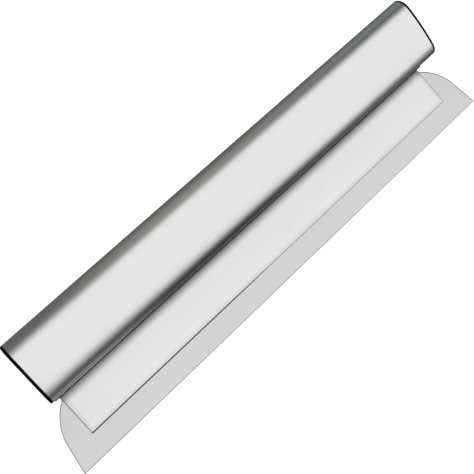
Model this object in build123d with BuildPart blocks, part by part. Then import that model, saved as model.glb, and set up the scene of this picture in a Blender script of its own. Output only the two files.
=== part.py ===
from build123d import *
import os
from math import acos, cos, degrees, radians, sin

# Skimming blade: a thin steel blade and a stiffer backing plate clamped by a bar
# into the underside of a hollow extruded handle with a moulded cap at each end.
# +X runs along the cutting edge, +Y from the cutting edge to the back of the
# handle, +Z up.  The origin lies on the rest plane, at the middle of the tool.

# ---- Driving dimensions (mm) ----------------------------------------------
BLADE_LENGTH = 400.0  # cutting edge, tip to tip
TOOL_DEPTH = 98.4  # cutting edge to the back of the handle
HANDLE_LENGTH = 368.8  # over the two end caps
HANDLE_DEPTH = 48.0  # front wall to back wall

# Handle section: a low front, a high back and one crown arc between them
FRONT_HEIGHT = 33.0
BACK_HEIGHT = 41.6
CROWN_RADIUS = 127.3
FRONT_CORNER_RADIUS = 8.5
BACK_CORNER_RADIUS = 10.0
HEEL_RADIUS = 8.0  # lower back corner
TOE_RADIUS = 2.0  # lower front corner of the end caps
SCOOP_TOP = 23.0  # finger scoop along the front wall
SCOOP_BOTTOM = 8.0
SCOOP_DEPTH = 1.8
SCOOP_BLEND_RADIUS = 4.0
WALL = 2.0
END_BREAK = 0.35  # deburred edge of the sawn extrusion

# Blade stack, bottom to top
BAR_THICKNESS = 3.0
BLADE_THICKNESS = 0.5
PLATE_THICKNESS = 0.8
STACK_LENGTH = 358.2  # backing plate and the clamped root of the blade
PLATE_OVERHANG = 34.3  # backing plate ahead of the handle's front wall
POCKET_DEPTH = 33.9  # front wall to the shoulder that the stack butts against
BUTT_GAP = 0.3
BAR_END_GAP = 0.5
BAR_SETBACK = 1.5  # bar's nose behind the handle's front wall
BAR_NOSE_LENGTH = 7.0
BAR_NOSE_DROP = 2.0

# Blade outline at each end: a straight clip, then one large round corner
CLIP_ANGLE = 10.6
CLIP_LENGTH = 21.4
BLADE_CORNER_RADIUS = 38.5
BLADE_LAND = 0.65  # width of the ground land around the free edges
BLADE_LAND_DROP = 0.14
PLATE_LAND = 0.8
PLATE_LAND_DROP = 0.55

# Handle interior
SEAT_THICKNESS = 3.2  # floor that the clamp screws pull on
WEB_THICKNESS = 1.8
WEB_Y = 28.2
PORT_OUTER_RADIUS = 3.3
PORT_BORE_RADIUS = 1.75
PORT_SLOT = 1.4
PORT_SETBACK = 8.0  # port axis behind the outer face of its wall
PORT_STEM = 1.8
FRONT_PORT_Z = 20.0
REAR_PORT_Z = 18.0

# Jaw seal: a rubber lip between the handle's foot and the backing plate
SEAL_HEIGHT = 1.6
SEAL_ROOT = 3.5
SEAL_LIP = 2.1
SEAL_TIP_HEIGHT = 0.7
SEAL_KEY_WIDTH = 1.0
SEAL_KEY_HEIGHT = 0.7

# Nut strip and its channel
NUT_WIDTH = 14.0
NUT_THICKNESS = 3.0
NUT_LENGTH = 350.0
CHANNEL_PLAY = 0.2
CHANNEL_WALL = 1.5
CHANNEL_LIP = 1.5
CHANNEL_HEADROOM = 0.3

# Clamp screws, M4 countersunk with hexagon socket
SCREW_COUNT = 8
SCREW_PITCH = 46.0
SCREW_RADIUS = 2.0
SCREW_LENGTH = 12.0
SCREW_HEAD_RADIUS = 3.9
SCREW_POINT = 0.6  # chamfered end
SCREW_RECESS = 0.15  # head below the face it is sunk into
HEAD_PLAY = 0.2
SOCKET_ACROSS_FLATS = 2.5
SOCKET_DEPTH = 1.6
CLEARANCE_HOLE_RADIUS = 2.25
THREAD_PLAY = 0.03

# End caps and their self-tapping screws
CAP_THICKNESS = 1.8
CAP_EDGE_RADIUS = 0.7
PANEL_INSET = 3.0  # shallow panel sunk into the outer face
PANEL_DEPTH = 0.3
PLUG_LENGTH = 12.0
PLUG_CLEARANCE = 0.25
PLUG_WALL = 1.6
CAP_SCREW_RADIUS = 1.7
CAP_SCREW_LENGTH = 18.0
CAP_SCREW_HEAD_RADIUS = 3.0
CAP_HOLE_RADIUS = 2.1
CROSS_LENGTH = 3.4
CROSS_WIDTH = 1.0
CROSS_DEPTH = 1.2
CROSS_TAPER = 8.0
CAP_SCREW_POINT = 3.0

# ---- Derived places --------------------------------------------------------
Y_EDGE = -TOOL_DEPTH / 2
Y_BACK = TOOL_DEPTH / 2
Y_FRONT = Y_BACK - HANDLE_DEPTH
Y_SHOULDER = Y_FRONT + POCKET_DEPTH
Y_STACK_BACK = Y_SHOULDER - BUTT_GAP
Y_SCREW = Y_FRONT + POCKET_DEPTH / 2
Z_BLADE = BAR_THICKNESS
Z_PLATE = Z_BLADE + BLADE_THICKNESS
Z_SEAT = Z_PLATE + PLATE_THICKNESS
Z_FLOOR = Z_SEAT + SEAT_THICKNESS
X_END = HANDLE_LENGTH / 2 - CAP_THICKNESS  # sawn end of the extrusion
X_STACK = STACK_LENGTH / 2
SCREW_X = [(i - (SCREW_COUNT - 1) / 2) * SCREW_PITCH for i in range(SCREW_COUNT)]
Z_SEAL_TOP = Z_SEAT + SEAL_HEIGHT
Z_LIP = Z_FLOOR + NUT_THICKNESS + CHANNEL_HEADROOM
Z_LIP_TOP = Z_LIP + CHANNEL_WALL
FRONT_PORT = (Y_FRONT + PORT_SETBACK, FRONT_PORT_Z)
REAR_PORT = (Y_BACK - PORT_SETBACK, REAR_PORT_Z)
PORTS = {"front": FRONT_PORT, "rear": REAR_PORT}
SIDES = {"left": -1, "right": 1}
KEY_LOW = (Y_FRONT + SEAL_ROOT / 2 - SEAL_KEY_WIDTH / 2, Z_SEAL_TOP)
KEY_HIGH = (Y_FRONT + SEAL_ROOT / 2 + SEAL_KEY_WIDTH / 2, Z_SEAL_TOP + SEAL_KEY_HEIGHT)
# Windows (low, high) that keep the caps' plugs clear of ports, channel and web
PLUG_MARGIN = PLUG_CLEARANCE + WEB_THICKNESS / 2
PLUG_WINDOWS = (
    ((FRONT_PORT[0] + PORT_OUTER_RADIUS + 1, Z_LIP_TOP + 1), (WEB_Y - PLUG_MARGIN, BACK_HEIGHT)),
    ((WEB_Y + PLUG_MARGIN, Z_FLOOR + 1), (REAR_PORT[0] - PORT_OUTER_RADIUS - 1, BACK_HEIGHT)),
)


def block(low, high, mode=Mode.ADD):
    """Rectangle between two corners of the current sketch."""
    centre = ((low[0] + high[0]) / 2, (low[1] + high[1]) / 2)
    with Locations(centre):
        Rectangle(high[0] - low[0], high[1] - low[1], mode=mode)


def export(builder, name):
    """Label one finished piece and write its STEP file."""
    builder.part.label = name
    export_step(builder.part, f"parts/{name}.step")


os.makedirs("parts", exist_ok=True)

# ---- Handle sections, drawn flat as (Y, Z) ---------------------------------
with BuildSketch() as outer_section:
    front_top = (Y_FRONT, FRONT_HEIGHT)
    back_top = (Y_BACK, BACK_HEIGHT)
    scoop_top = (Y_FRONT, SCOOP_TOP)
    scoop_middle = (Y_FRONT + SCOOP_DEPTH, (SCOOP_TOP + SCOOP_BOTTOM) / 2)
    scoop_bottom = (Y_FRONT, SCOOP_BOTTOM)
    toe = (Y_FRONT, 0)
    heel = (Y_BACK, 0)
    with BuildLine():
        Line(front_top, scoop_top)
        ThreePointArc(scoop_top, scoop_middle, scoop_bottom)
        Polyline(scoop_bottom, toe, heel, back_top)
        RadiusArc(front_top, back_top, CROWN_RADIUS)
    make_face()
    for point, radius in (
        (toe, TOE_RADIUS),
        (heel, HEEL_RADIUS),
        (back_top, BACK_CORNER_RADIUS),
        (front_top, FRONT_CORNER_RADIUS),
        (scoop_top, SCOOP_BLEND_RADIUS),
        (scoop_bottom, SCOOP_BLEND_RADIUS),
    ):
        fillet(outer_section.vertices().sort_by_distance(point)[0], radius)

with BuildSketch() as inner_section:
    add(outer_section.sketch)
    offset(amount=-WALL, mode=Mode.REPLACE)

# ---- Handle profile: one extrusion, sawn square at both ends ---------------
with BuildPart() as handle_profile:
    with BuildSketch(Plane.YZ):
        add(outer_section.sketch)
        add(inner_section.sketch, mode=Mode.SUBTRACT)
        # floor over the pocket, shoulder behind it, web up to the crown
        block((Y_FRONT + WALL / 2, Z_SEAT), (Y_SHOULDER + WALL, Z_FLOOR))
        block((Y_SHOULDER, WALL / 2), (Y_SHOULDER + WALL, Z_FLOOR))
        block((WEB_Y - WEB_THICKNESS / 2, Z_FLOOR), (WEB_Y + WEB_THICKNESS / 2, BACK_HEIGHT))
        # channel that holds the nut strip captive
        for side in (-1, 1):
            inner_face = Y_SCREW + side * (NUT_WIDTH / 2 + CHANNEL_PLAY)
            outer_face = inner_face + side * CHANNEL_WALL
            lip_edge = inner_face - side * CHANNEL_LIP
            block((min(inner_face, outer_face), Z_FLOOR), (max(inner_face, outer_face), Z_LIP))
            block((min(lip_edge, outer_face), Z_LIP), (max(lip_edge, outer_face), Z_LIP_TOP))
        # open screw ports, each on a stem from its wall
        for port, wall_face in ((FRONT_PORT, Y_FRONT), (REAR_PORT, Y_BACK)):
            block(
                (min(port[0], wall_face), port[1] - PORT_STEM / 2),
                (max(port[0], wall_face), port[1] + PORT_STEM / 2),
            )
        with Locations(FRONT_PORT, REAR_PORT):
            Circle(PORT_OUTER_RADIUS)
        with Locations(FRONT_PORT, REAR_PORT):
            Circle(PORT_BORE_RADIUS, mode=Mode.SUBTRACT)
        for port, toward in ((FRONT_PORT, 1), (REAR_PORT, -1)):
            mouth = port[0] + toward * (PORT_OUTER_RADIUS + 1)
            block(
                (min(port[0], mouth), port[1] - PORT_SLOT / 2),
                (max(port[0], mouth), port[1] + PORT_SLOT / 2),
                mode=Mode.SUBTRACT,
            )
        # blade pocket in the underside, then the seal's notch and key slot
        block((Y_FRONT - 1, -1), (Y_SHOULDER, Z_SEAT), mode=Mode.SUBTRACT)
        block((Y_FRONT - 1, Z_SEAT), (Y_FRONT + SEAL_ROOT, Z_SEAL_TOP), mode=Mode.SUBTRACT)
        block(KEY_LOW, KEY_HIGH, mode=Mode.SUBTRACT)
        add(outer_section.sketch, mode=Mode.INTERSECT)
    extrude(amount=X_END, both=True)
    with Locations(*[(x, Y_SCREW, Z_FLOOR) for x in SCREW_X]):
        Hole(CLEARANCE_HOLE_RADIUS, depth=SEAT_THICKNESS)
    for end in handle_profile.faces().sort_by(Axis.X)[:: len(handle_profile.faces()) - 1]:
        rim = end.outer_wire().edges().filter_by(lambda edge: edge.center().Z > Z_SEAL_TOP)
        chamfer(rim, END_BREAK)
export(handle_profile, "handle_profile")

# ---- Blade: flat stainless sheet with a ground land around its free edges --
with BuildPart() as blade:
    with BuildSketch(Plane.XY.offset(Z_BLADE)):
        with BuildLine():
            tip = (BLADE_LENGTH / 2, Y_EDGE)
            clip_end = (
                tip[0] - CLIP_LENGTH * sin(radians(CLIP_ANGLE)),
                tip[1] + CLIP_LENGTH * cos(radians(CLIP_ANGLE)),
            )
            clip = Line(tip, clip_end)
            centre_x = clip_end[0] - BLADE_CORNER_RADIUS * cos(radians(CLIP_ANGLE))
            arc_end_angle = degrees(acos((X_STACK - centre_x) / BLADE_CORNER_RADIUS))
            corner = JernArc(clip @ 1, clip % 1, BLADE_CORNER_RADIUS, arc_end_angle - CLIP_ANGLE)
            root = Line(corner @ 1, (X_STACK, Y_STACK_BACK))
            Line(root @ 1, (0, Y_STACK_BACK))
            Line((0, Y_EDGE), tip)
            mirror(about=Plane.YZ)
        make_face()
    extrude(amount=BLADE_THICKNESS)
    for skin in blade.faces().filter_by(Axis.Z):
        free_edges = skin.outer_wire().edges().filter_by(lambda edge: edge.center().Y < Y_FRONT)
        chamfer(free_edges, BLADE_LAND, BLADE_LAND_DROP, reference=skin)
    with Locations(*[(x, Y_SCREW, Z_PLATE) for x in SCREW_X]):
        Hole(CLEARANCE_HOLE_RADIUS, depth=BLADE_THICKNESS)
export(blade, "blade")

# ---- Backing plate: stiffens the blade ahead of the handle -----------------
with BuildPart() as backing_plate:
    with BuildSketch(Plane.XY.offset(Z_PLATE)):
        block((-X_STACK, Y_FRONT - PLATE_OVERHANG), (X_STACK, Y_STACK_BACK))
    extrude(amount=PLATE_THICKNESS)
    top = backing_plate.faces().sort_by(Axis.Z)[-1]
    chamfer(top.edges().sort_by(Axis.Y)[:3], PLATE_LAND, PLATE_LAND_DROP, reference=top)
    with Locations(*[(x, Y_SCREW, Z_SEAT) for x in SCREW_X]):
        Hole(CLEARANCE_HOLE_RADIUS, depth=PLATE_THICKNESS)
export(backing_plate, "backing_plate")

# ---- Clamp bar: flush with the handle's foot, thinned toward the blade -----
with BuildPart() as clamp_bar:
    with BuildSketch():
        block((BAR_END_GAP - X_END, Y_FRONT + BAR_SETBACK), (X_END - BAR_END_GAP, Y_STACK_BACK))
    extrude(amount=BAR_THICKNESS)
    underside = clamp_bar.faces().sort_by(Axis.Z)[0]
    front_edge = underside.edges().sort_by(Axis.Y)[0]
    chamfer(front_edge, BAR_NOSE_LENGTH, BAR_NOSE_DROP, reference=underside)
    with Locations(*[Plane((x, Y_SCREW, 0), z_dir=(0, 0, -1)) for x in SCREW_X]):
        CounterSinkHole(CLEARANCE_HOLE_RADIUS, SCREW_HEAD_RADIUS + HEAD_PLAY, BAR_THICKNESS, 90)
export(clamp_bar, "clamp_bar")

# ---- Nut strip: tapped steel strip, captive in the handle's channel --------
with BuildPart() as nut_strip:
    with BuildSketch(Plane.XY.offset(Z_FLOOR)):
        block(
            (-NUT_LENGTH / 2, Y_SCREW - NUT_WIDTH / 2),
            (NUT_LENGTH / 2, Y_SCREW + NUT_WIDTH / 2),
        )
    extrude(amount=NUT_THICKNESS)
    with Locations(*[(x, Y_SCREW, Z_FLOOR + NUT_THICKNESS) for x in SCREW_X]):
        Hole(SCREW_RADIUS + THREAD_PLAY, depth=NUT_THICKNESS)
export(nut_strip, "nut_strip")

# ---- Jaw seal: rubber lip that keeps compound out of the clamp -------------
with BuildPart() as jaw_seal:
    with BuildSketch(Plane.YZ):
        with BuildLine():
            Polyline(
                (Y_FRONT + SEAL_ROOT, Z_SEAT),
                (Y_FRONT - SEAL_LIP, Z_SEAT),
                (Y_FRONT - SEAL_LIP, Z_SEAT + SEAL_TIP_HEIGHT),
                (Y_FRONT, Z_SEAL_TOP),
                (Y_FRONT + SEAL_ROOT, Z_SEAL_TOP),
                close=True,
            )
        make_face()
        block(KEY_LOW, KEY_HIGH)
    extrude(amount=X_END, both=True)
export(jaw_seal, "jaw_seal")

# ---- Clamp screws: blank with its head down on z = 0, then one per hole ----
with BuildPart() as clamp_screw_blank:
    with BuildSketch(Plane.XZ):
        with BuildLine():
            Polyline(
                (0, 0),
                (SCREW_HEAD_RADIUS, 0),
                (SCREW_RADIUS, SCREW_HEAD_RADIUS - SCREW_RADIUS),
                (SCREW_RADIUS, SCREW_LENGTH - SCREW_POINT),
                (SCREW_RADIUS - SCREW_POINT, SCREW_LENGTH),
                (0, SCREW_LENGTH),
                close=True,
            )
        make_face()
    revolve(axis=Axis.Z)
    with BuildSketch():
        RegularPolygon(SOCKET_ACROSS_FLATS / 2, 6, major_radius=False)
    extrude(amount=SOCKET_DEPTH, mode=Mode.SUBTRACT)

for number, x in enumerate(SCREW_X, start=1):
    with BuildPart() as clamp_screw:
        with Locations((x, Y_SCREW, SCREW_RECESS)):
            add(clamp_screw_blank.part)
    export(clamp_screw, f"clamp_screw_{number}")

# ---- Cap screws: same kind of blank, with a cross recess -------------------
with BuildPart() as cap_screw_blank:
    with BuildSketch(Plane.XZ):
        with BuildLine():
            Polyline(
                (0, 0),
                (CAP_SCREW_HEAD_RADIUS, 0),
                (CAP_SCREW_RADIUS, CAP_SCREW_HEAD_RADIUS - CAP_SCREW_RADIUS),
                (CAP_SCREW_RADIUS, CAP_SCREW_LENGTH - CAP_SCREW_POINT),
                (0, CAP_SCREW_LENGTH),
                close=True,
            )
        make_face()
    revolve(axis=Axis.Z)
    with BuildSketch():
        Rectangle(CROSS_LENGTH, CROSS_WIDTH)
        Rectangle(CROSS_WIDTH, CROSS_LENGTH)
    extrude(amount=CROSS_DEPTH, taper=CROSS_TAPER, mode=Mode.SUBTRACT)

# ---- End caps: plate, two hollow plugs and two screws each -----------------
for side_name, side in SIDES.items():
    panel = side * (X_END + CAP_THICKNESS - PANEL_DEPTH)
    with BuildPart() as end_cap:
        with BuildSketch(Plane.YZ.offset(side * X_END)):
            add(outer_section.sketch)
        extrude(amount=side * CAP_THICKNESS)
        outer_face = end_cap.faces().filter_by(Axis.X).sort_by(Axis.X, reverse=side > 0)[0]
        fillet(outer_face.edges(), CAP_EDGE_RADIUS)
        with BuildSketch(Plane.YZ.offset(panel)):
            add(outer_section.sketch)
            offset(amount=-PANEL_INSET, mode=Mode.REPLACE)
        extrude(amount=side * PANEL_DEPTH, mode=Mode.SUBTRACT)
        for low, high in PLUG_WINDOWS:
            with BuildSketch(Plane.YZ.offset(side * X_END)):
                add(inner_section.sketch)
                offset(amount=-PLUG_CLEARANCE, mode=Mode.REPLACE)
                block(low, high, mode=Mode.INTERSECT)
                offset(amount=-PLUG_WALL, mode=Mode.SUBTRACT)
            extrude(amount=-side * PLUG_LENGTH)
        with Locations(*[Plane((panel, y, z), z_dir=(side, 0, 0)) for y, z in PORTS.values()]):
            CounterSinkHole(CAP_HOLE_RADIUS, CAP_SCREW_HEAD_RADIUS + HEAD_PLAY, CAP_THICKNESS, 90)
    export(end_cap, f"end_cap_{side_name}")
    for port_name, (y, z) in PORTS.items():
        seat = Plane((panel - side * SCREW_RECESS, y, z), z_dir=(-side, 0, 0))
        with BuildPart() as cap_screw:
            with Locations(seat):
                add(cap_screw_blank.part)
        export(cap_screw, f"cap_screw_{side_name}_{port_name}")
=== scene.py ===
"""Looks of the skimming blade: procedural materials, soft studio light and the camera.

Lengths are in metres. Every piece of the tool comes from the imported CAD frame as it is.
"""

import math
from collections import namedtuple

import bmesh
import bpy
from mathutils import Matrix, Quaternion, Vector


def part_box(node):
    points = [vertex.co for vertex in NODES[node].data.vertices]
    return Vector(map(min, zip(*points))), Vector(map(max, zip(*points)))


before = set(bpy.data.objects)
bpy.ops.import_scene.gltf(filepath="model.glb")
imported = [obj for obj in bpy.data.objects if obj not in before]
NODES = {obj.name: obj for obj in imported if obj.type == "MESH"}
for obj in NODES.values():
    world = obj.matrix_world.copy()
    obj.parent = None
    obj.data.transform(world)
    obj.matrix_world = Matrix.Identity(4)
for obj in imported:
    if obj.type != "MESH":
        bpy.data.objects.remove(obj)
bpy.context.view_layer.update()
SCENE = bpy.context.scene

# Places on the tool: x runs along it, y from the cutting edge to the back, z up from the bench.
HANDLE_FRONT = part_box("handle_profile")[0][1]
SEAL_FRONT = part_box("jaw_seal")[0][1]
PLATE_LOW, PLATE_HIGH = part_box("backing_plate")
BLADE_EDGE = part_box("blade")[0][1]
CAP_SCREW_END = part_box("cap_screw_right_front")[1][0]
PLATE_LAND = 0.0008  # width of the land ground round the plate's free edges


# ---------------------------------------------------------------- node trees


class Tree:
    """A material or world node tree with short calls for the nodes this script uses."""

    def __init__(self, owner):
        owner.use_nodes = True
        self.tree = owner.node_tree
        self.tree.nodes.clear()

    def node(self, kind, inputs=None, **settings):
        """Adds a node, with its settings and its inputs as numbers or as other nodes' outputs."""
        made = self.tree.nodes.new(kind)
        for key, value in settings.items():
            setattr(made, key, value)
        for key, value in (inputs or {}).items():
            socket = made.inputs[key]
            if isinstance(value, bpy.types.NodeSocket):
                self.tree.links.new(value, socket)
            else:
                socket.default_value = value
        return made

    def show(self, shader, kind="ShaderNodeOutputMaterial"):
        """Makes a shader node what the whole tree gives."""
        self.node(kind, {"Surface": shader.outputs[0]})

    def math(self, operation, a, b=0.0, c=0.0, clamp=False):
        """One Math node's result."""
        made = self.node("ShaderNodeMath", {0: a, 1: b, 2: c}, operation=operation, use_clamp=clamp)
        return made.outputs[0]

    def times(self, first, *others):
        """The product, which is 1 only where every factor is."""
        for other in others:
            first = self.math("MULTIPLY", first, other)
        return first

    def raised(self, value, where, by):
        """value with by added in proportion to where, kept between 0 and 1."""
        return self.math("MULTIPLY_ADD", where, by, value, clamp=True)

    def varied(self, value, noise, spread):
        """value raised and lowered by a noise from 0 to 1, over a range as wide as spread."""
        return self.math("MULTIPLY_ADD", self.math("SUBTRACT", noise, 0.5), spread, value)

    def span(self, value, low, high, to_low=0.0, to_high=1.0, smooth=True):
        """value taken from low...high to to_low...to_high, and held past both ends."""
        made = self.node(
            "ShaderNodeMapRange",
            {"Value": value, "From Min": low, "From Max": high, "To Min": to_low, "To Max": to_high},
            interpolation_type="SMOOTHSTEP" if smooth else "LINEAR",
        )
        return made.outputs["Result"]

    def mix(self, factor, a, b):
        """Colour a where factor is 0 and colour b where it is 1."""
        return self.node("ShaderNodeMix", {0: factor, 6: a, 7: b}, data_type="RGBA").outputs[2]

    def ramp(self, factor, stops):
        """A colour ramp through stops of (place from 0 to 1, colour)."""
        made = self.node("ShaderNodeValToRGB", {"Fac": factor})
        elements = made.color_ramp.elements
        elements[0].position, elements[0].color = stops[0]
        elements[1].position, elements[1].color = stops[-1]
        for place, colour in stops[1:-1]:
            elements.new(place).color = colour
        return made.outputs["Color"]

    def place(self, stretch=(1, 1, 1)):
        """Position on the object, times stretch, so that a pattern can be drawn out along one axis."""
        where = self.node("ShaderNodeTexCoord").outputs["Object"]
        made = self.node("ShaderNodeVectorMath", {0: where, 1: stretch}, operation="MULTIPLY")
        return made.outputs[0]

    def noise(self, stretch, detail=2.0, rough=0.5, warp=0.0):
        """Noise from 0 to 1 whose grains are 1/stretch metres along each axis."""
        made = self.node(
            "ShaderNodeTexNoise",
            {
                "Vector": self.place(stretch),
                "Scale": 1.0,
                "Detail": detail,
                "Roughness": rough,
                "Distortion": warp,
            },
        )
        return made.outputs["Fac"]

    def along(self, axis):
        """Position on the object along one axis."""
        return self.node("ShaderNodeSeparateXYZ", {"Vector": self.place()}).outputs[axis]

    def edges(self, radius):
        """1 along edges and corners, fading to 0 within radius of them."""
        rounded = self.node("ShaderNodeBevel", {"Radius": radius}, samples=6).outputs["Normal"]
        plain = self.node("ShaderNodeNewGeometry").outputs["Normal"]
        cosine = self.node("ShaderNodeVectorMath", {0: rounded, 1: plain}, operation="DOT_PRODUCT")
        return self.span(cosine.outputs["Value"], 0.99, 0.86)

    def facing(self, axis, low, high):
        """0 to 1 as faces turn to look along an axis, either way; low and high are cosines."""
        normal = self.node("ShaderNodeNewGeometry").outputs["True Normal"]
        share = self.node("ShaderNodeSeparateXYZ", {"Vector": normal}).outputs[axis]
        return self.span(self.math("ABSOLUTE", share), low, high)

    def land(self):
        """1 on the sloped lands ground round a sheet and on its cut edges, and 0 on its flat faces."""
        return self.facing("Z", 0.995, 0.985)


def grey(value, red=0.0, blue=0.0):
    """A near neutral colour in linear light, with its red and blue raised or lowered by a share."""
    return (value * (1 + red), value, value * (1 + blue), 1.0)


# ---------------------------------------------------------------- painted shade and painted light on the metals

# where: from 0 to 1. stays: the share of the metal's colour left there. rougher: the roughness added there.
# matt: how far the mark hides the metal's mirror reflection.
Mark = namedtuple("Mark", "where stays rougher matt", defaults=(0.0, 0.0))


def roll_painted_shade(t):
    """Painted shade on the roll under the handle's front edge, which is made matt there as well: narrower at
    the left.
    """
    top_at_left, top_elsewhere, fade = 0.0306, 0.0334, 0.0030
    z = t.along("Z")
    top = t.span(t.along("X"), -0.145, -0.065, top_at_left, top_elsewhere)
    below_top = t.span(t.math("SUBTRACT", top, z), 0.0, fade)
    above_groove = t.span(z, 0.0185, 0.0275)
    front = t.span(t.along("Y"), HANDLE_FRONT + 0.012, HANDLE_FRONT + 0.008)
    return Mark(t.times(below_top, above_groove, front), stays=0.07, rougher=0.15, matt=0.9)


def jaw_shadow(t):
    """The soft dark margin where the backing plate runs in under the handle."""
    return Mark(t.span(t.along("Y"), SEAL_FRONT - 0.0076, SEAL_FRONT + 0.0026), stays=0.02, rougher=0.15)


def margin_painted_shade(t):
    """The plate's face, a little darker along its three free edges by painted shade."""
    width = 0.0045
    from_front = t.math("SUBTRACT", t.along("Y"), PLATE_LOW[1])
    from_end = t.math("SUBTRACT", PLATE_HIGH[0], t.math("ABSOLUTE", t.along("X")))
    return Mark(t.span(t.math("MINIMUM", from_front, from_end), width, PLATE_LAND), stays=0.86)


def end_lands_painted_shade(t):
    """The ground lands at the plate's two ends, a little darker by painted shade and a little rougher."""
    fade = 0.0004
    inner_line = PLATE_HIGH[0] - PLATE_LAND
    end = t.span(t.math("ABSOLUTE", t.along("X")), inner_line - fade, inner_line)
    return Mark(t.times(t.land(), end), stays=0.6, rougher=0.1)


def front_land(t):
    """1 on the ground land along the plate's front edge."""
    fade = 0.00025
    inner_line = PLATE_LOW[1] + PLATE_LAND
    return t.span(t.along("Y"), inner_line + fade, inner_line)


def right_edge_painted_light(t):
    """The plate's front land towards the right: rougher, and lighter by a painted highlight."""
    right = t.span(t.along("X"), -0.06, 0.01)
    return Mark(t.times(front_land(t), right), stays=1.12, rougher=0.40)


def left_edge_painted_shade(t):
    """The plate's front land towards the left, darkened by painted shade."""
    left = t.span(t.along("X"), -0.07, -0.01, 0.95, 0.0)
    return Mark(t.times(front_land(t), left), stays=0.08)


def blade_land_painted_shade(t):
    """The blade's ground outline: rougher than its face, and darker by painted shade."""
    return Mark(t.times(t.land(), 0.8), stays=0.55, rougher=0.12)


def corner_painted_shade(t):
    """The outline of the blade's right-hand round corner, darker than the cutting edge by painted shade."""
    right = t.span(t.along("X"), 0.165, 0.178)
    behind_edge = t.span(t.along("Y"), BLADE_EDGE + 0.0007, BLADE_EDGE + 0.0014)
    return Mark(t.times(t.land(), right, behind_edge), stays=0.03)


def recess_painted_shade(t):
    """Painted shade in the cross recesses of the cap screws, which are made rougher and matt there as well.
    """
    depth = t.math("SUBTRACT", CAP_SCREW_END, t.math("ABSOLUTE", t.along("X")))
    return Mark(t.span(depth, 0.0003, 0.0009), stays=0.12, rougher=0.30, matt=0.8)


# ---------------------------------------------------------------- materials

METAL_GLOSS = 0.05  # specular level, which shows only where a mark hides the metal's own reflection
HANDLING = (14, 22.4, 22.4)  # patches left by hands, to the metre along each axis
BRUSHED_ALONG = (10, 2600, 2600)  # lines to the metre along each axis, drawn out along x
BRUSHED_ACROSS = (2600, 24, 2600)  # the same, drawn out along y


def surface(t, colour, rough, gloss, relief, height, metallic=0.0):
    """Shows a surface with bumps of relief times height; gloss is its specular level."""
    bump = t.node("ShaderNodeBump", {"Strength": 1.0, "Distance": height, "Height": relief})
    shader = t.node(
        "ShaderNodeBsdfPrincipled",
        {
            "Base Color": colour,
            "Metallic": metallic,
            "Roughness": rough,
            "Specular IOR Level": gloss,
            "Normal": bump.outputs["Normal"],
        },
    )
    t.show(shader)


def metal(name, colour, dull_colour, roughness, spread, grain, grain_height, marks=(), edge_wear_and_highlight=0.0):
    """Bare or anodised metal: fine lines drawn out along the grain, and soft handling patches.

    The roughness varies over a range about as wide as spread. grain is the number of lines to the metre
    along each axis and grain_height is their height. Each of marks is a function of the tree that gives a
    Mark. The last argument is the width of the bright strip along edges, rubbed bright by use and lightened
    further by a painted highlight.
    """
    material = bpy.data.materials.new(name)
    t = Tree(material)
    lines = t.noise(grain, detail=3.0, rough=0.6)
    coarse = t.noise([0.18 * fine for fine in grain], detail=2.0)
    handled = t.span(t.noise(HANDLING, detail=3.0, rough=0.55, warp=0.4), 0.42, 0.72)
    rough = t.raised(t.varied(roughness, lines, spread), handled, 0.3 * spread)
    dullness = t.raised(t.times(handled, 0.65), coarse, 0.35)
    base = t.mix(dullness, colour, dull_colour)
    # Edges: rubbed bright by use, and lightened further by a painted highlight.
    if edge_wear_and_highlight:
        burnished_and_highlit = t.times(t.edges(edge_wear_and_highlight), t.span(lines, 0.30, 0.60))
        burnished_highlit_colour = grey(min(1.0, 1.25 * colour[1]))
        base = t.mix(burnished_and_highlit, base, burnished_highlit_colour)
        rough = t.raised(rough, burnished_and_highlit, -0.3 * roughness)
    metallic = 1.0
    for mark in (make(t) for make in marks):
        base = t.mix(mark.where, base, grey(mark.stays * colour[1]))
        rough = t.raised(rough, mark.where, mark.rougher)
        if mark.matt:
            metallic = t.raised(metallic, t.math("POWER", mark.where, 4.0), -mark.matt)
    relief = t.math("MULTIPLY_ADD", coarse, 0.5, lines)
    surface(t, base, rough, METAL_GLOSS, relief, grain_height, metallic)
    return material


def polymer(name, colour, scuff_highlight_colour, roughness, grain, grain_height, gloss, end_sheen_colours=None):
    """Moulded plastic or rubber with a fine eroded texture.

    grain is the number of pits to the metre and grain_height is their depth. gloss is its specular level,
    which is 0.5 on a clean plastic. The third argument colours the scuffs and a painted highlight along
    edges.
    The last argument, when given, holds the plain and scuffed colours of the faces that look out at the
    tool's ends, paler than the rest by a painted sheen.
    """
    material = bpy.data.materials.new(name)
    t = Tree(material)
    texture = t.noise((grain, grain, grain), detail=3.0, rough=0.65)
    scuffs = t.span(t.noise((260, 1400, 1400), detail=3.0, warp=0.6), 0.58, 0.74)
    # The scuffs are real; the lighter strip along edges is a painted highlight.
    scuffs_and_highlight = t.math("MAXIMUM", scuffs, t.times(t.edges(0.0006), 0.5), clamp=True)
    polished = t.span(t.noise((60, 60, 60), detail=3.0), 0.45, 0.75)
    rough = t.raised(t.varied(roughness, texture, 0.16), polished, -0.08)
    base = t.mix(scuffs_and_highlight, colour, scuff_highlight_colour)
    # Faces that look out at the tool's ends are paler by a painted sheen.
    if end_sheen_colours:
        end_scuffs_and_sheen = t.math("MAXIMUM", scuffs_and_highlight, t.times(polished, 0.35))
        base = t.mix(t.facing("X", 0.55, 0.98), base, t.mix(end_scuffs_and_sheen, *end_sheen_colours))
    surface(t, base, rough, gloss, texture, grain_height)
    return material


def screw_steel(name, **extras):
    """Bright screw steel, its edges rubbed bright by use and lighter by a painted highlight."""
    return metal(
        name, grey(0.60, 0.01, -0.01), grey(0.52, 0.03, -0.03), roughness=0.28, spread=0.10,
        grain=(1800, 1800, 1800), grain_height=4e-6, edge_wear_and_highlight=0.0003, **extras,
    )


def plain_name(material):
    """A material's name without the number that Blender adds to a second one of that name."""
    return material.name.split(".")[0]


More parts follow.
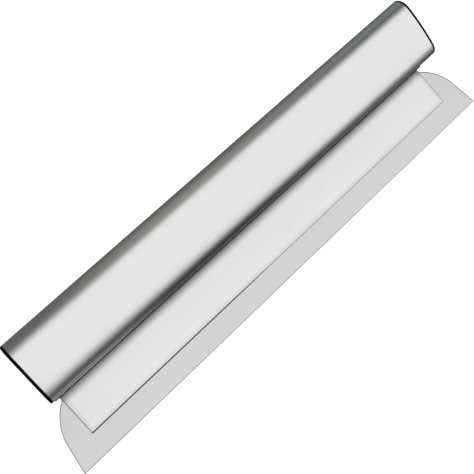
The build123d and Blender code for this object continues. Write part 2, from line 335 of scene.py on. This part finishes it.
MATERIALS = [
    metal(
        "handle_aluminium", grey(0.800), grey(0.782), roughness=0.13, spread=0.05,
        grain=BRUSHED_ALONG, grain_height=1e-6, edge_wear_and_highlight=0.0004, marks=[roll_painted_shade],
    ),
    metal(
        "plate_aluminium", grey(0.829), grey(0.812), roughness=0.20, spread=0.06,
        grain=BRUSHED_ALONG, grain_height=1e-6,
        marks=[margin_painted_shade, end_lands_painted_shade, right_edge_painted_light, left_edge_painted_shade, jaw_shadow],
    ),
    metal(
        "blade_steel", grey(0.687), grey(0.674), roughness=0.22, spread=0.06,
        grain=BRUSHED_ACROSS, grain_height=1e-6, marks=[blade_land_painted_shade, corner_painted_shade],
    ),
    metal(
        "bar_aluminium", grey(0.74), grey(0.70), roughness=0.36, spread=0.12,
        grain=(10, 2200, 2200), grain_height=6e-6, edge_wear_and_highlight=0.0005,
    ),
    metal(
        "strip_steel", grey(0.58, -0.03, 0.03), grey(0.50, 0.02, -0.02), roughness=0.40, spread=0.12,
        grain=(900, 900, 900), grain_height=6e-6,
    ),
    screw_steel("clamp_screw_steel"),
    screw_steel("cap_screw_steel", marks=[recess_painted_shade]),
    # The caps' end faces are paler by a painted sheen, and their edges lighter by a painted highlight.
    polymer(
        "cap_plastic", grey(0.0015), grey(0.006), roughness=0.50, grain=3200, grain_height=2.5e-5,
        gloss=0.04, end_sheen_colours=(grey(0.013), grey(0.045)),
    ),
    polymer(
        "seal_rubber", grey(0.004), grey(0.008), roughness=0.72, grain=2400, grain_height=2.0e-5,
        gloss=0.08,
    ),
]
FINISHES = {plain_name(material): material for material in MATERIALS}


# ---------------------------------------------------------------- shading of the pieces

WELD = 2e-6  # mesh corners closer than this become one


def smooth_runs(limit):
    """A node group that joins a mesh's faces and shades it smooth where they turn by under limit degrees."""
    group = bpy.data.node_groups.new("smooth_runs", "GeometryNodeTree")
    group.is_modifier = True
    for side in ("INPUT", "OUTPUT"):
        group.interface.new_socket("Geometry", in_out=side, socket_type="NodeSocketGeometry")
    new, link = group.nodes.new, group.links.new
    came, gone = new("NodeGroupInput"), new("NodeGroupOutput")
    joined = new("GeometryNodeMergeByDistance")
    joined.inputs["Distance"].default_value = WELD
    faces, edges = new("GeometryNodeSetShadeSmooth"), new("GeometryNodeSetShadeSmooth")
    faces.domain, edges.domain = "FACE", "EDGE"
    flat = new("FunctionNodeCompare")
    flat.operation = "LESS_THAN"
    flat.inputs[1].default_value = math.radians(limit)
    link(came.outputs[0], joined.inputs["Geometry"])
    link(joined.outputs[0], faces.inputs["Geometry"])
    link(faces.outputs[0], edges.inputs["Geometry"])
    link(new("GeometryNodeInputMeshEdgeAngle").outputs["Unsigned Angle"], flat.inputs[0])
    link(flat.outputs[0], edges.inputs["Shade Smooth"])
    link(edges.outputs[0], gone.inputs[0])
    return group


# The sheets keep their shallow ground lands crisp; the rounder pieces run smooth across their facets.
SHEETS = ("blade", "backing_plate")
SHEET_RUNS = smooth_runs(9)
ROUND_RUNS = smooth_runs(31)
for name, node in NODES.items():
    slot = node.material_slots[0]
    slot.material = FINISHES[plain_name(slot.material)]
    node.modifiers.new("smooth_runs", "NODES").node_group = SHEET_RUNS if name in SHEETS else ROUND_RUNS
    normals = node.modifiers.new("normals", "WEIGHTED_NORMAL")
    normals.mode = "FACE_AREA_WITH_ANGLE"
    normals.keep_sharp = True


# ---------------------------------------------------------------- stage


def rectangle(name, west, east, south, north, faces_down=False):
    """A flat mesh of one face."""
    corners = [(west, south, 0), (east, south, 0), (east, north, 0), (west, north, 0)]
    mesh = bpy.data.meshes.new(name)
    mesh.from_pydata(corners, [], [(0, 3, 2, 1) if faces_down else (0, 1, 2, 3)])
    return mesh


def studio_piece(name, mesh, material_name):
    """Adds an object with one new material to the scene; gives the object and its material's empty tree."""
    piece = bpy.data.objects.new(name, mesh)
    SCENE.collection.objects.link(piece)
    material = bpy.data.materials.new(material_name)
    mesh.materials.append(material)
    return piece, Tree(material)


def stage_floor():
    """A wide pale table, evenly lit from within like an acrylic light table."""
    half, gap = 6.0, 0.0002
    floor, t = studio_piece("floor", rectangle("floor", -half, half, -half, half), "pale_table")
    floor.location.z = -gap
    shader = t.node(
        "ShaderNodeBsdfPrincipled",
        {
            "Base Color": grey(0.86),
            "Roughness": 0.9,
            "Emission Color": grey(1.0),
            "Emission Strength": 0.92,
        },
    )
    t.show(shader)
    floor.visible_glossy = False


def stage_backdrop():
    """A white paper dome far behind everything, seen by the camera alone."""
    dome = bmesh.new()
    bmesh.ops.create_uvsphere(dome, u_segments=48, v_segments=24, radius=9.0)
    mesh = bpy.data.meshes.new("backdrop")
    dome.to_mesh(mesh)
    dome.free()
    backdrop, t = studio_piece("backdrop", mesh, "pale_paper")
    t.show(t.node("ShaderNodeEmission", {"Color": grey(1.0), "Strength": 1.0}))
    for kind in ("diffuse", "glossy", "transmission", "volume_scatter", "shadow"):
        setattr(backdrop, f"visible_{kind}", False)


def surroundings(t, turn, *glows):
    """A ring of light round the tool's long axis.

    Each of glows is an angle in degrees, from straight up towards the back, and then what grey() takes.
    """
    return t.ramp(turn, [(degrees / 360 + 0.5, grey(*light)) for degrees, *light in glows])


def stage_world():
    """Dim studio surroundings: grey walls and ceiling whose shades change from the left end to the right.

    Four rings of light are blended by how far a direction leans towards the right. The soft box hides what
    lies within about 40 degrees of straight up.
    """
    world = bpy.data.worlds.new("studio")
    SCENE.world = world
    t = Tree(world)
    way = t.node("ShaderNodeTexCoord").outputs["Generated"]
    x, y, z = t.node("ShaderNodeSeparateXYZ", {"Vector": way}).outputs
    turn = t.math("MULTIPLY_ADD", t.math("ARCTAN2", y, z), 1 / math.tau, 0.5)
    left = surroundings(
        t, turn,
        (-180, 0.20), (-140, 0.25), (-119, 0.33), (-103, 0.27), (-91, 0.17), (-79, 0.125),
        (-69, 0.112, -0.04), (-58, 0.14, -0.04), (-49, 0.17, -0.03), (-40, 0.19, -0.03),
        (38, 0.29), (45, 0.23), (52, 0.19, -0.05, 0.04), (62, 0.168, -0.08, 0.07),
        (80, 0.158, -0.08, 0.07), (100, 0.147, -0.06, 0.06), (122, 0.155), (180, 0.10),
    )
    inner_left = surroundings(
        t, turn,
        (-180, 0.10), (-140, 0.11), (-117, 0.10), (-101, 0.056, 0, 0.05), (-88, 0.058, 0, 0.05),
        (-75, 0.077, 0, 0.05), (-66, 0.11, 0, 0.04), (-55, 0.175, 0, 0.03), (-44, 0.265), (-40, 0.31),
        (38, 0.35, 0, -0.04), (51, 0.295, -0.01, -0.06), (60, 0.265, -0.01, -0.07),
        (76, 0.263, -0.02, -0.08), (88, 0.242, -0.02, -0.09), (97, 0.205, -0.02, -0.09),
        (110, 0.177, -0.02, -0.09), (122, 0.155), (180, 0.09),
    )
    middle = surroundings(
        t, turn,
        (-180, 0.05), (-122, 0.065), (-103, 0.056), (-89, 0.056), (-77, 0.088), (-66, 0.158),
        (-55, 0.267), (-44, 0.41), (-40, 0.49),
        (38, 0.37), (51, 0.31, 0, -0.04), (68, 0.266, -0.01, -0.06), (78, 0.248, -0.01, -0.06),
        (87, 0.205, -0.02, -0.08), (98, 0.167, -0.02, -0.09), (112, 0.155, -0.02, -0.09), (180, 0.08),
    )
    right = surroundings(
        t, turn,
        (-180, 0.05), (-153, 0.07), (-122, 0.13), (-103, 0.17, -0.02, 0.02), (-88, 0.21, -0.02, 0.03),
        (-75, 0.315, -0.01, 0.03), (-62, 0.48, -0.01, 0.02), (-50, 0.65), (-40, 0.82),
        (38, 0.215, -0.06, 0.03), (47, 0.165, -0.08, 0.05), (56, 0.160, -0.10, 0.06),
        (66, 0.195, -0.09, 0.07), (76, 0.232, -0.08, 0.07), (87, 0.231, -0.08, 0.07),
        (100, 0.21, -0.08, 0.07), (114, 0.18), (180, 0.08),
    )
    shade = t.mix(t.span(x, 0.02, 0.15, smooth=False), left, inner_left)
    shade = t.mix(t.span(x, 0.15, 0.28, smooth=False), shade, middle)
    shade = t.mix(t.span(x, 0.28, 0.53, smooth=False), shade, right)
    ends = t.math("MAXIMUM", t.span(x, -0.12, -0.50), t.span(x, 0.60, 0.78))
    shade = t.mix(ends, shade, grey(0.62))
    t.show(t.node("ShaderNodeBackground", {"Color": shade, "Strength": 1.0}), "ShaderNodeOutputWorld")
    world.cycles.sampling_method = "MANUAL"
    world.cycles.sample_map_resolution = 1024


def feathered(t, place, *stops):
    """The soft box's light through stops of a place in metres and then what grey() takes."""
    low, high = stops[0][0], stops[-1][0]
    spot = t.span(place, low, high, smooth=False)
    return t.ramp(spot, [((metres - low) / (high - low), grey(*light)) for metres, *light in stops])


def stage_soft_box():
    """The large overhead soft box, which fades slowly towards its back and quickly at its front edge."""
    west, east, south, north, height = -0.50, 1.15, -0.80, 0.75, 0.97
    slant = 0.08  # how far the front feather turns off the front edge, in metres to the metre
    cloth = rectangle("soft_box", west, east, south, north, faces_down=True)
    box, t = studio_piece("soft_box", cloth, "soft_box_cloth")
    box.location.z = height
    x, y = t.along("X"), t.along("Y")
    back = feathered(
        t, y,
        (south, 1.0), (-0.118, 1.0), (-0.100, 0.97), (-0.085, 0.94), (-0.066, 0.91), (0.0, 0.875),
        (0.06, 0.835), (0.12, 0.78, 0, -0.01), (0.20, 0.715, 0, -0.02), (0.26, 0.65, 0, -0.03),
        (0.34, 0.575, 0, -0.03), (0.42, 0.495, 0, -0.03), (0.50, 0.445, 0, -0.03),
        (0.58, 0.385, 0, -0.03), (0.66, 0.35, 0, -0.02), (north, 0.295),
    )
    front = feathered(
        t, t.math("MULTIPLY_ADD", x, slant, y),
        (-0.82, 0.13), (-0.790, 0.145), (-0.770, 0.18), (-0.750, 0.26), (-0.730, 0.42),
        (-0.711, 0.64), (-0.696, 0.81), (-0.681, 0.94), (-0.660, 1.0), (-0.59, 1.0),
    )
    glow = t.node("ShaderNodeVectorMath", {0: back, 1: front}, operation="MULTIPLY").outputs[0]
    right_back_dim = t.times(t.span(x, 0.35, 0.80), t.span(y, 0.10, north, to_high=0.16))
    strength = t.math("SUBTRACT", 1.0, right_back_dim)
    t.show(t.node("ShaderNodeEmission", {"Color": glow, "Strength": strength}))
    box.visible_camera = False


def stage_camera():
    """Looks down on the tool from near its left end, with the tool lying corner to corner in the view."""
    place = Vector((-0.16136, 0.03448, 0.55017))
    aim = Vector((-0.01551, -0.00220, 0.0))
    roll = math.radians(62.02)
    data = bpy.data.cameras.new("camera")
    data.lens = 60.76
    data.sensor_width = 36.0
    data.clip_start = 0.01
    data.clip_end = 50.0
    camera = bpy.data.objects.new("camera", data)
    SCENE.collection.objects.link(camera)
    camera.rotation_mode = "QUATERNION"
    camera.location = place
    camera.rotation_quaternion = (aim - place).to_track_quat("-Z", "Y") @ Quaternion((0, 0, 1), roll)
    SCENE.camera = camera


SCENE.view_settings.view_transform = "Standard"
stage_floor()
stage_backdrop()
stage_world()
stage_soft_box()
stage_camera()
